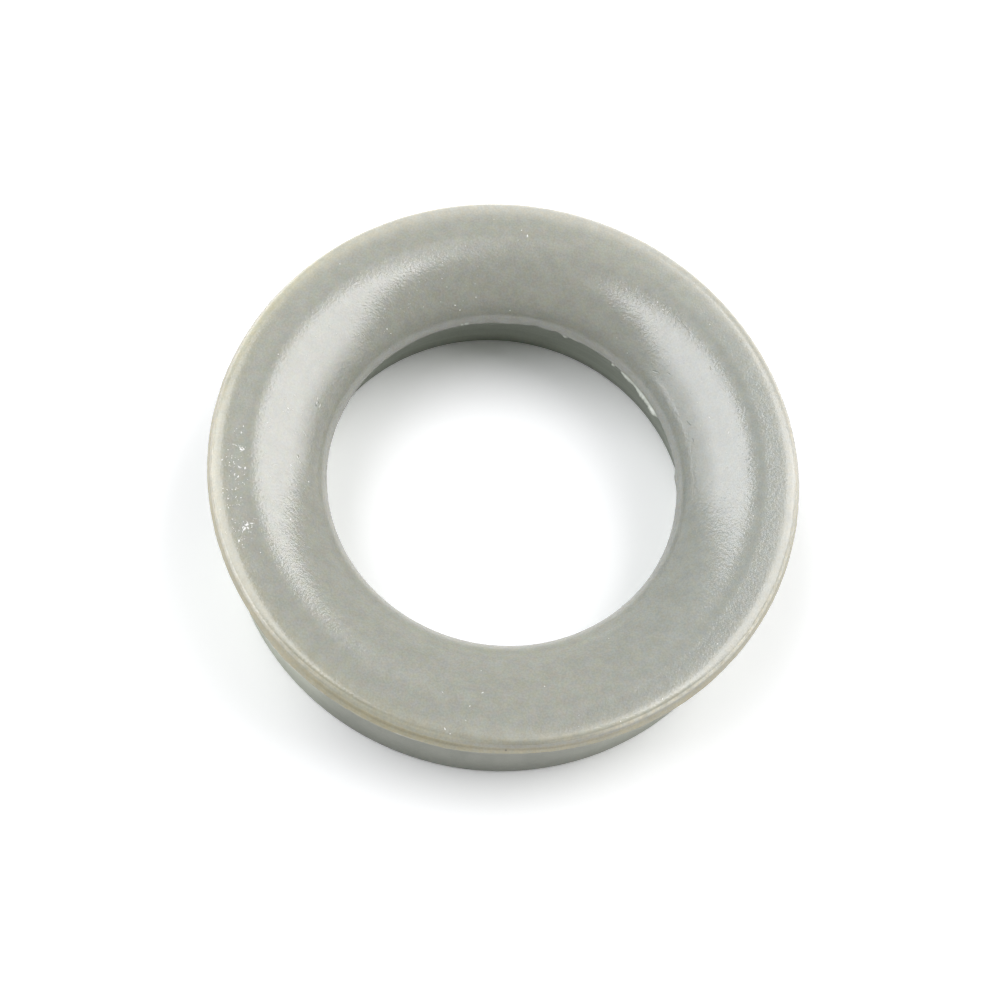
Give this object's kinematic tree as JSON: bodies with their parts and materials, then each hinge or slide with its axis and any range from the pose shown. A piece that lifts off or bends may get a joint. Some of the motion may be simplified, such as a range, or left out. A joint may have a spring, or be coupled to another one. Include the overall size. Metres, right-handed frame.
{
  "type": "air filter flange",
  "caption": "Moulded rubber ring with a flared bell mouth. Its recess pushes over a carburettor's mouth and its lipped outside wall holds a foam filter's collar.",
  "frame": {"origin": "centre of the flat foot, on the surface that the ring stands on", "axes": "+Z along the ring's axis, up through the bell's mouth; X and Y lie in the foot and are alike, because the ring is round"},
  "size_m": [0.06, 0.06, 0.0149],
  "materials": {
    "rubber": "satin"
  },
  "bodies": {
    "root": {"flange": "rubber"}
  },
  "joints": []
}
